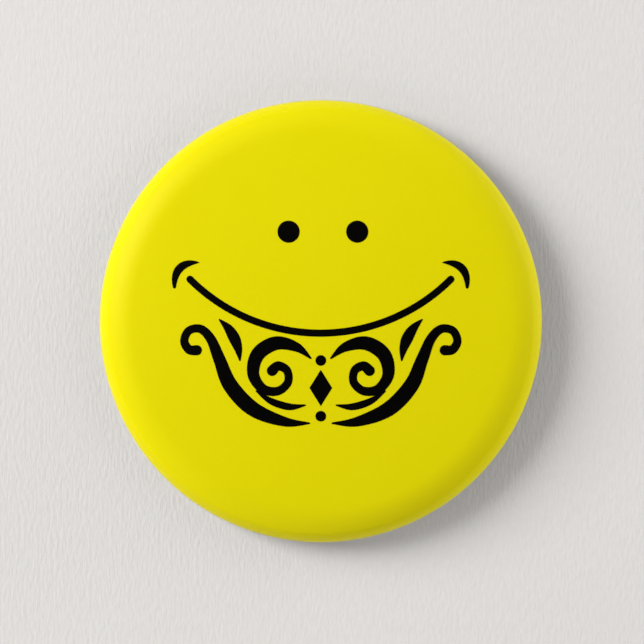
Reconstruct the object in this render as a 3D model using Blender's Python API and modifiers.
"""A 57 mm pin-back button badge, lying on its back with its face up.

A printed paper disc is pressed over a domed tinplate shell under a clear film. The film and the paper wrap
round the shell's lip, turn up inside it and are trapped there by the flange of a pressed back plate. A bar
pin is riveted into the well of the back plate: its stem swings on a hinge rivet, and a lock with a thumb tab
turns in the catch to keep the stem in.

Metres, +Z up. The origin is the centre of the plane that the lip rests on, +Z runs out through the face, and
+Y is the top of the badge as it is worn.
"""

import math

import bmesh
import bpy
from mathutils import Matrix

MM = 0.001

# The badge as a whole.
BADGE_RADIUS = 28.6 * MM
BADGE_DEPTH = 8.0 * MM
CROWN_RADIUS = 220.0 * MM
CROWN_EDGE = 24.0 * MM
CREASE = 27.26 * MM
CREASE_SLOPES = (36, 50)

# The three sheets of the cover from the outside in, with the gap that separate pieces keep.
FILM_THICKNESS = 0.10 * MM
PAPER_THICKNESS = 0.15 * MM
TINPLATE_THICKNESS = 0.25 * MM
GAP = 0.05 * MM
PAPER_DEPTH = FILM_THICKNESS + GAP
SHELL_DEPTH = PAPER_DEPTH + PAPER_THICKNESS + GAP

# Where the film and the paper turn up inside the lip.
TUCK_TURN_CENTRE = 26.2 * MM
TUCK_TURN_RADIUS = 0.75 * MM
TUCK_HEIGHT = 1.6 * MM

# The back plate. Its heights are those of its rear face.
RING_HEIGHT = 0.7 * MM
WELL_HEIGHT = 5.2 * MM
WELL_FLOOR_RADIUS = 20.2 * MM
WELL_RIM_RADIUS = 21.6 * MM
WELL_CORNER = 0.4 * MM
BEAD_RADIUS = 23.6 * MM
BEAD_HALF_WIDTH = 0.7 * MM
BEAD_HEIGHT = 0.35 * MM
FLANGE_RADIUS = TUCK_TURN_CENTRE - TUCK_TURN_RADIUS - GAP - TINPLATE_THICKNESS
FLANGE_LIP_RADIUS = 26.6 * MM

# The bar of the pin. Heights from here on are measured from the well's rear face, away from the plate.
BAR_Y = 5.0 * MM
BAR_THICKNESS = 0.7 * MM
BAR_TOP = GAP + BAR_THICKNESS
BAR_HALF_WIDTH = 2.3 * MM
BAR_NECK_HALF_WIDTH = 1.7 * MM
BAR_CATCH_END = -16.6 * MM
BAR_NECK_START = 9.8 * MM
BAR_NECK_END = 11.0 * MM
BAR_HINGE_END = 15.2 * MM
BAR_CORNER = 0.75 * MM

RIVET_X = {"rivet_left": -6.5 * MM, "rivet_right": 6.5 * MM}
RIVET_SHANK_RADIUS = 0.9 * MM
RIVET_HOLE_RADIUS = 1.0 * MM
RIVET_HEAD_RADIUS = 1.5 * MM
RIVET_HEAD_HEIGHT = 0.55 * MM
RIVET_CLENCH_RADIUS = 1.35 * MM
RIVET_CLENCH_HEIGHT = 0.4 * MM
RIVET_HOLLOW_RADIUS = 0.5 * MM
RIVET_HOLLOW_DEPTH = 0.7 * MM

# The stem: one and a quarter turns of wire round the hinge, then straight to its point.
WIRE_RADIUS = 0.4 * MM
LOOP_RADIUS = 0.9 * MM
LOOP_TURNS = 1.25
LOOP_PITCH = 0.88 * MM
LOOP_STEPS = 20
STEM_REACH = 28.4 * MM
POINT_LENGTH = 4.4 * MM
POINT_TIP_SHARE = 0.08
POINT_POWER = 0.7
POINT_STEPS = 4

HINGE_X = 13.2 * MM
HINGE_HEIGHT = 2.2 * MM
EAR_INNER = 1.05 * MM
EAR_THICKNESS = 0.6 * MM
EAR_RADIUS = 1.35 * MM
HINGE_PIN_RADIUS = 0.44 * MM
HINGE_HOLE_RADIUS = 0.52 * MM
HINGE_HEAD_RADIUS = 0.85 * MM
HINGE_HEAD_HEIGHT = 0.35 * MM

# The catch. Angles about its axis run from straight away from the plate towards +Y.
CATCH_X = -12.6 * MM
CATCH_HEIGHT = HINGE_HEIGHT + LOOP_RADIUS
CATCH_LENGTH = 3.2 * MM
CATCH_RADIUS = 1.8 * MM
CATCH_BORE = 1.3 * MM
CATCH_MOUTH_ANGLE = 26
CATCH_FOOT_HALF_WIDTH = 1.1 * MM
TENON_RADIUS = 0.8 * MM
TENON_HOLE_RADIUS = 0.9 * MM
TENON_DEPTH = 0.4 * MM
LOCK_LENGTH = 3.4 * MM
LOCK_RADIUS = 1.2 * MM
LOCK_BORE = 0.58 * MM
LOCK_SLOT_WIDTH = 1.0 * MM
LOCK_TURN = 65
TAB_ANGLE = -48
TAB_ROOT = 0.85 * MM
TAB_REACH = 2.7 * MM
TAB_THICKNESS = 0.5 * MM
TAB_LENGTH = 1.6 * MM
TAB_CORNER = 0.35 * MM
WINDOW_LENGTH = TAB_LENGTH + 0.2 * MM
WINDOW_START = -20
WINDOW_END = TAB_ANGLE - LOCK_TURN - 15

# How finely round things are divided.
BADGE_SEGMENTS = 40
SMALL_SEGMENTS = 20
ARC_STEP = 15
MERGE = 0.005 * MM
WELD = 0.0005 * MM

# Orientations of a flat outline. Both send its y straight away from the plate; its x runs along the badge's
# Y in the first and along the badge's X in the second.
ACROSS_BADGE = Matrix(((0, 0, -1), (1, 0, 0), (0, -1, 0))).to_4x4()
ALONG_BADGE = Matrix(((1, 0, 0), (0, 0, 1), (0, -1, 0))).to_4x4()


# ---------------------------------------------------------------- the scene


def clear_scene():
    """Removes whatever the scene holds."""
    for obj in list(bpy.data.objects):
        bpy.data.objects.remove(obj, do_unlink=True)


def new_collection(name):
    collection = bpy.data.collections.new(name)
    bpy.context.scene.collection.children.link(collection)
    return collection


def principled(name, colour, roughness, metallic, alpha=1.0):
    """A Principled material of one colour."""
    made = bpy.data.materials.new(name)
    made.use_nodes = True
    shader = made.node_tree.nodes["Principled BSDF"]
    shader.inputs["Base Color"].default_value = (*colour, 1.0)
    shader.inputs["Roughness"].default_value = roughness
    shader.inputs["Metallic"].default_value = metallic
    shader.inputs["Alpha"].default_value = alpha
    made.diffuse_color = (*colour, alpha)
    return made


def make_materials():
    """The materials by name. The rivets share one, and so do the two pieces of the catch."""
    return {
        "clear_film": principled("clear_film", (0.92, 0.93, 0.90), 0.25, 0.0, alpha=0.25),
        "printed_disc": principled("printed_disc", (0.74, 0.66, 0.004), 0.55, 0.0),
        "front_shell": principled("front_shell", (0.62, 0.62, 0.60), 0.35, 1.0),
        "back_plate": principled("back_plate", (0.66, 0.66, 0.64), 0.32, 1.0),
        "pin_bar": principled("pin_bar", (0.60, 0.60, 0.58), 0.30, 1.0),
        "rivet": principled("rivet", (0.55, 0.55, 0.54), 0.35, 1.0),
        "pin_stem": principled("pin_stem", (0.70, 0.70, 0.69), 0.20, 1.0),
        "catch": principled("catch", (0.62, 0.60, 0.55), 0.28, 1.0),
    }


def place(obj, collection, coat=None, location=(0, 0, 0), turn=None):
    """Links an object to a collection and gives it its material, place and orientation."""
    collection.objects.link(obj)
    if coat is not None:
        obj.data.materials.append(coat)
    obj.matrix_world = Matrix.Translation(location) @ (turn or Matrix.Identity(4))
    return obj


# ---------------------------------------------------------------- outlines


def arc(centre, radius, start, end, steps):
    """Points on an arc, both ends included, with angles in degrees from the first axis to the second."""
    turns = [math.radians(start + (end - start) * i / steps) for i in range(steps + 1)]
    return [(centre[0] + radius * math.cos(a), centre[1] + radius * math.sin(a)) for a in turns]


def clock_arc(radius, start, end):
    """Points on an arc round the origin, with angles in degrees from the second axis to the first."""
    steps = max(2, round(abs(end - start) / ARC_STEP))
    return arc((0, 0), radius, 90 - start, 90 - end, steps)


def circle(centre, radius):
    return arc(centre, radius, 0, 360, SMALL_SEGMENTS)[:-1]


# ---------------------------------------------------------------- ways of making a solid


def turned(name, profile, segments):
    """A surface turned round Z from a profile of (radius, height) points that runs down its outer side."""
    mesh = bpy.data.meshes.new(name)
    edges = [(i, i + 1) for i in range(len(profile) - 1)]
    mesh.from_pydata([(radius, 0, height) for radius, height in profile], edges, [])
    obj = bpy.data.objects.new(name, mesh)
    screw = obj.modifiers.new("Turn", "SCREW")
    screw.axis = "Z"
    screw.steps = segments
    screw.render_steps = segments
    screw.use_merge_vertices = True
    screw.merge_threshold = MERGE
    screw.use_smooth_shade = True
    return obj


def turned_sheet(name, profile, thickness):
    """A pressed sheet of even thickness, behind the surface that a profile turns."""
    obj = turned(name, profile, BADGE_SEGMENTS)
    solidify = obj.modifiers.new("Thickness", "SOLIDIFY")
    solidify.thickness = thickness
    solidify.offset = -1
    solidify.use_even_offset = True
    solidify.use_quality_normals = True
    return obj


def flat_solid(name, outlines, thickness):
    """A flat plate centred on its own plane. The first outline is its edge, and the others are its holes."""
    curve = bpy.data.curves.new(name, "CURVE")
    curve.dimensions = "2D"
    curve.fill_mode = "BOTH"
    curve.extrude = thickness / 2
    for outline in outlines:
        spline = curve.splines.new("POLY")
        spline.points.add(len(outline) - 1)
        for point, (x, y) in zip(spline.points, outline):
            point.co = (x, y, 0, 1)
        spline.use_cyclic_u = True
    return bpy.data.objects.new(name, curve)


def rod(name, radius, length):
    """A round bar along Z."""
    mesh = bpy.data.meshes.new(name)
    shape = bmesh.new()
    bmesh.ops.create_cone(
        shape, cap_ends=True, segments=SMALL_SEGMENTS, radius1=radius, radius2=radius, depth=length
    )
    shape.to_mesh(mesh)
    shape.free()
    return bpy.data.objects.new(name, mesh)


def as_mesh(obj):
    """Replaces a curve with the mesh that it makes, with the loose caps welded on and shaded smooth."""
    bpy.context.view_layer.update()
    mesh = bpy.data.meshes.new_from_object(obj.evaluated_get(bpy.context.evaluated_depsgraph_get()))
    shape = bmesh.new()
    shape.from_mesh(mesh)
    bmesh.ops.remove_doubles(shape, verts=shape.verts, dist=WELD)
    shape.to_mesh(mesh)
    shape.free()
    mesh.shade_smooth()
    mesh.set_sharp_from_angle(angle=math.radians(35))
    name, world, collection = obj.name, obj.matrix_world.copy(), obj.users_collection[0]
    bpy.data.objects.remove(obj, do_unlink=True)
    made = bpy.data.objects.new(name, mesh)
    collection.objects.link(made)
    made.matrix_world = world
    return made


def combine(obj, other, operation):
    """Joins another solid to a mesh, or cuts it away. The other one stays as a guide."""
    other.hide_render = True
    other.display_type = "WIRE"
    modifier = obj.modifiers.new(other.name, "BOOLEAN")
    modifier.operation = operation
    modifier.solver = "EXACT"
    modifier.object = other


# ---------------------------------------------------------------- the cover: film, paper and shell


def bend(start, end_radius, slope, end_slope, steps):
    """An arc from a (radius, height) point, out to a radius, as its slope turns downwards, in degrees."""
    turn = math.sin(math.radians(end_slope)) - math.sin(math.radians(slope))
    bend_radius = (end_radius - start[0]) / turn
    centre = (
        start[0] - bend_radius * math.sin(math.radians(slope)),
        start[1] - bend_radius * math.cos(math.radians(slope)),
    )
    return arc(centre, bend_radius, 90 - slope, 90 - end_slope, steps)


def cover_outline(tucked):
    """The outer surface of the cover from its centre to its edge.

    A slight crown runs into a shoulder, which ends at the crease that the press leaves. Below it the side
    turns down to the waist, and the lip rolls in under it to the plane that the badge rests on. A tucked
    sheet then turns up inside the lip.
    """
    crown_slope = math.degrees(math.asin(CROWN_EDGE / CROWN_RADIUS))
    points = bend((0, BADGE_DEPTH), CROWN_EDGE, 0, crown_slope, 2)
    points += bend(points[-1], CREASE, crown_slope, CREASE_SLOPES[0], 3)[1:]
    points += bend(points[-1], BADGE_RADIUS, CREASE_SLOPES[1], 90, 3)[1:]
    waist = points[-1][1]
    points += bend(points[-1], BADGE_RADIUS - waist, 90, 180, 3)[1:]
    if not tucked:
        return points + [(TUCK_TURN_CENTRE + GAP, 0)]
    points += bend((TUCK_TURN_CENTRE, 0), TUCK_TURN_CENTRE - TUCK_TURN_RADIUS, 180, 270, 2)
    return points + [(TUCK_TURN_CENTRE - TUCK_TURN_RADIUS, TUCK_HEIGHT)]


def inset(points, depth):
    """The same outline at an even depth behind the first one, with its corners mitred."""
    runs = [(b[0] - a[0], b[1] - a[1]) for a, b in zip(points, points[1:])]
    lengths = [math.hypot(*run) for run in runs]
    inward = [(run[1] / length, -run[0] / length) for run, length in zip(runs, lengths)]
    before = [(-inward[0][0], inward[0][1])] + inward
    after = inward + [inward[-1]]
    moved = []
    for (radius, height), a, b in zip(points, before, after):
        share = depth / (1 + a[0] * b[0] + a[1] * b[1])
        moved.append((radius + (a[0] + b[0]) * share, height + (a[1] + b[1]) * share))
    return moved


def make_cover(parts, coats):
    """The clear film, the printed paper and the tinplate shell, each pressed over the next."""
    sheets = (
        ("clear_film", 0, FILM_THICKNESS, True),
        ("printed_disc", PAPER_DEPTH, PAPER_THICKNESS, True),
        ("front_shell", SHELL_DEPTH, TINPLATE_THICKNESS, False),
    )
    for name, depth, thickness, tucked in sheets:
        profile = inset(cover_outline(tucked), depth)
        place(turned_sheet(name, profile, thickness), parts, coats[name])


# ---------------------------------------------------------------- the back plate


def back_plate_profile():
    """The inner face of the back plate, from its centre to the edge of its flange."""
    floor = WELL_HEIGHT + TINPLATE_THICKNESS
    ring = RING_HEIGHT + TINPLATE_THICKNESS
    return [
        (0, floor),
        (WELL_FLOOR_RADIUS, floor),
        (WELL_FLOOR_RADIUS + WELL_CORNER, floor - WELL_CORNER),
        (WELL_RIM_RADIUS, ring + WELL_CORNER),
        (WELL_RIM_RADIUS + WELL_CORNER, ring),
        (BEAD_RADIUS - BEAD_HALF_WIDTH, ring),
        (BEAD_RADIUS, ring - BEAD_HEIGHT),
        (BEAD_RADIUS + BEAD_HALF_WIDTH, ring),
        (FLANGE_RADIUS, ring),
        (FLANGE_RADIUS, TUCK_HEIGHT + GAP + TINPLATE_THICKNESS),
        (FLANGE_LIP_RADIUS, TUCK_HEIGHT + GAP + TINPLATE_THICKNESS),
    ]


def make_back_plate(parts, guides, coats):
    plate = turned_sheet("back_plate", back_plate_profile(), TINPLATE_THICKNESS)
    place(plate, parts, coats["back_plate"])
    for name, x in RIVET_X.items():
        hole = rod(f"{name}_hole", RIVET_HOLE_RADIUS, 4 * TINPLATE_THICKNESS)
        place(hole, guides, location=(x, BAR_Y, WELL_HEIGHT + TINPLATE_THICKNESS / 2))
        combine(plate, hole, "DIFFERENCE")


# ---------------------------------------------------------------- the bar and its rivets


def on_plate(x, height, across=0):
    """A place on the pin assembly, at a height away from the plate."""
    return (x, BAR_Y + across, WELL_HEIGHT - height)


def bar_outline():
    """The strip's edge: a round-cornered end at the catch and a narrower neck at the hinge."""
    left, right = BAR_CATCH_END + BAR_CORNER, BAR_HINGE_END - BAR_CORNER
    wide, narrow = BAR_HALF_WIDTH, BAR_NECK_HALF_WIDTH
    points = arc((left, wide - BAR_CORNER), BAR_CORNER, 180, 90, 3)
    points += [(BAR_NECK_START, wide), (BAR_NECK_END, narrow)]
    points += arc((right, narrow - BAR_CORNER), BAR_CORNER, 90, 0, 3)
    return points + [(x, -y) for x, y in reversed(points)]


def ear_outline():
    """One hinge ear, from inside the bar's thickness to the round end about the hinge."""
    root = BAR_TOP - BAR_THICKNESS / 2 - HINGE_HEIGHT
    return [(EAR_RADIUS, root)] + arc((0, 0), EAR_RADIUS, 0, 180, 8) + [(-EAR_RADIUS, root)]


def make_bar(parts, guides, coats):
    """The strip, with the holes for its rivets and for the catch, and the two ears of the hinge."""
    holes = [circle((x, 0), RIVET_HOLE_RADIUS) for x in RIVET_X.values()]
    holes.append(circle((CATCH_X, 0), TENON_HOLE_RADIUS))
    strip = flat_solid("pin_bar", [bar_outline(), *holes], BAR_THICKNESS)
    place(strip, parts, coats["pin_bar"], on_plate(0, BAR_TOP - BAR_THICKNESS / 2))
    bar = as_mesh(strip)
    for side in (-1, 1):
        ear = flat_solid(f"ear_{side}", [ear_outline(), circle((0, 0), HINGE_HOLE_RADIUS)], EAR_THICKNESS)
        across = side * (EAR_INNER + EAR_THICKNESS / 2)
        place(ear, guides, coats["pin_bar"], on_plate(HINGE_X, HINGE_HEIGHT, across), ALONG_BADGE)
        combine(bar, as_mesh(ear), "UNION")


def rivet_profile():
    """A rivet from its clenched end inside the plate to its head, with heights above the well's rear face."""
    plate_side = TINPLATE_THICKNESS + GAP
    clench_end = plate_side + RIVET_CLENCH_HEIGHT
    head_side = -BAR_TOP - GAP
    return [
        (0, clench_end - RIVET_HOLLOW_DEPTH),
        (RIVET_HOLLOW_RADIUS, clench_end - RIVET_HOLLOW_DEPTH),
        (RIVET_HOLLOW_RADIUS, clench_end - RIVET_CLENCH_HEIGHT / 2),
        (RIVET_SHANK_RADIUS, clench_end),
        (RIVET_CLENCH_RADIUS, clench_end - RIVET_CLENCH_HEIGHT / 2),
        (RIVET_CLENCH_RADIUS, plate_side),
        (RIVET_SHANK_RADIUS, plate_side),
        (RIVET_SHANK_RADIUS, head_side),
        (RIVET_HEAD_RADIUS, head_side),
        (RIVET_HEAD_RADIUS, head_side - RIVET_HEAD_HEIGHT / 3),
        (RIVET_HEAD_RADIUS * 0.75, head_side - RIVET_HEAD_HEIGHT * 0.8),
        (0, head_side - RIVET_HEAD_HEIGHT),
    ]


def make_rivets(parts, coats):
    for name, x in RIVET_X.items():
        place(turned(name, rivet_profile(), SMALL_SEGMENTS), parts, coats["rivet"], on_plate(x, 0))


# ---------------------------------------------------------------- the hinge and the stem


def make_hinge_rivet(parts, coats):
    """The pin through the ears, with a head on each side."""
    ear_side = EAR_INNER + EAR_THICKNESS + GAP
    end = ear_side + HINGE_HEAD_HEIGHT
    half = [
        (0, end),
        (HINGE_HEAD_RADIUS * 0.7, end),
        (HINGE_HEAD_RADIUS, ear_side + HINGE_HEAD_HEIGHT / 2),
        (HINGE_HEAD_RADIUS, ear_side),
        (HINGE_PIN_RADIUS, ear_side),
    ]
    profile = half + [(radius, -height) for radius, height in reversed(half)]
    pin = turned("hinge_rivet", profile, SMALL_SEGMENTS)
    place(pin, parts, coats["rivet"], on_plate(HINGE_X, HINGE_HEIGHT), ALONG_BADGE)


def stem_route():
    """The wire's centre line from the hinge's axis, as ((x, y, z), share of the wire's full thickness)."""
    half_width = LOOP_PITCH * LOOP_TURNS / 2
    steps = round(LOOP_STEPS * LOOP_TURNS)
    route = []
    for step in range(steps + 1):
        share = step / steps
        angle = math.tau * LOOP_TURNS * (1 - share) - math.pi / 2
        across = half_width * (1 - 2 * share)
        route.append(((LOOP_RADIUS * math.cos(angle), across, LOOP_RADIUS * math.sin(angle)), 1.0))
    shoulder = STEM_REACH - POINT_LENGTH
    for step in range(POINT_STEPS + 1):
        share = step / POINT_STEPS
        x = shoulder + POINT_LENGTH * share
        across = -half_width * (1 - x / abs(CATCH_X - HINGE_X))
        thickness = POINT_TIP_SHARE + (1 - POINT_TIP_SHARE) * (1 - share) ** POINT_POWER
        route.append(((-x, across, -LOOP_RADIUS), thickness))
    return route


def make_stem(parts, coats):
    """The stem is bent from one wire, and its object's origin is on the hinge's axis."""
    curve = bpy.data.curves.new("pin_stem", "CURVE")
    curve.dimensions = "3D"
    curve.bevel_depth = WIRE_RADIUS
    curve.bevel_resolution = 2
    curve.use_fill_caps = True
    route = stem_route()
    spline = curve.splines.new("POLY")
    spline.points.add(len(route) - 1)
    for point, (position, thickness) in zip(spline.points, route):
        point.co = (*position, 1)
        point.radius = thickness
    wire = bpy.data.objects.new("pin_stem", curve)
    as_mesh(place(wire, parts, coats["pin_stem"], on_plate(HINGE_X, HINGE_HEIGHT)))


# ---------------------------------------------------------------- the safety catch


def catch_outline():
    """The fixed body across its axis: a C that is open away from the plate, standing on a foot."""
    foot_angle = 180 - math.degrees(math.asin(CATCH_FOOT_HALF_WIDTH / CATCH_RADIUS))
    foot_depth = CATCH_HEIGHT - BAR_TOP - GAP
    points = clock_arc(CATCH_RADIUS, CATCH_MOUTH_ANGLE, foot_angle)
    points += [(CATCH_FOOT_HALF_WIDTH, -foot_depth), (-CATCH_FOOT_HALF_WIDTH, -foot_depth)]
    points += clock_arc(CATCH_RADIUS, -foot_angle, -CATCH_MOUTH_ANGLE)
    return points + clock_arc(CATCH_BORE, -CATCH_MOUTH_ANGLE, CATCH_MOUTH_ANGLE - 360)


def window_outline():
    """The opening in the body's side that the thumb tab sweeps through."""
    outside = clock_arc(CATCH_RADIUS + TAB_THICKNESS, WINDOW_START, WINDOW_END)
    return outside + clock_arc(CATCH_BORE - TAB_THICKNESS, WINDOW_END, WINDOW_START)


def make_catch_body(parts, guides, coats):
    axis = on_plate(CATCH_X, CATCH_HEIGHT)
    body = flat_solid("catch_body", [catch_outline()], CATCH_LENGTH)
    body = as_mesh(place(body, parts, coats["catch"], axis, ACROSS_BADGE))
    window = flat_solid("catch_window", [window_outline()], WINDOW_LENGTH)
    combine(body, as_mesh(place(window, guides, coats["catch"], axis, ACROSS_BADGE)), "DIFFERENCE")
    tenon_length = BAR_THICKNESS + GAP + TENON_DEPTH
    tenon = rod("catch_tenon", TENON_RADIUS, tenon_length)
    place(tenon, guides, coats["catch"], on_plate(CATCH_X, GAP + tenon_length / 2))
    combine(body, tenon, "UNION")


def lock_outline():
    """The lock across its axis: a thick tube with a slot as wide as the stem needs."""
    half_slot = LOCK_SLOT_WIDTH / 2
    outside = math.degrees(math.asin(half_slot / LOCK_RADIUS))
    inside = math.degrees(math.asin(half_slot / LOCK_BORE))
    points = clock_arc(LOCK_RADIUS, outside, 360 - outside)
    return points + clock_arc(LOCK_BORE, 360 - inside, inside)


def tab_outline():
    """The thumb tab, from inside the lock's wall to its round-cornered end."""
    side = TAB_LENGTH / 2 - TAB_CORNER
    end = TAB_REACH - TAB_CORNER
    points = [(TAB_LENGTH / 2, TAB_ROOT)] + arc((side, end), TAB_CORNER, 0, 90, 3)
    return points + [(-x, y) for x, y in reversed(points)]


def make_catch_lock(parts, guides, coats):
    """The lock stands open at rest, and its object's origin is on the catch's axis."""
    axis = on_plate(CATCH_X, CATCH_HEIGHT)
    lock = flat_solid("catch_lock", [lock_outline()], LOCK_LENGTH)
    lock = as_mesh(place(lock, parts, coats["catch"], axis, ACROSS_BADGE))
    tab = flat_solid("thumb_tab", [tab_outline()], TAB_THICKNESS)
    turn = Matrix.Rotation(math.radians(TAB_ANGLE), 4, "X") @ ALONG_BADGE
    combine(lock, as_mesh(place(tab, guides, coats["catch"], axis, turn)), "UNION")


def main():
    clear_scene()
    parts = new_collection("button_badge")
    guides = new_collection("guides")
    coats = make_materials()
    make_cover(parts, coats)
    make_back_plate(parts, guides, coats)
    make_bar(parts, guides, coats)
    make_rivets(parts, coats)
    make_hinge_rivet(parts, coats)
    make_stem(parts, coats)
    make_catch_body(parts, guides, coats)
    make_catch_lock(parts, guides, coats)


main()
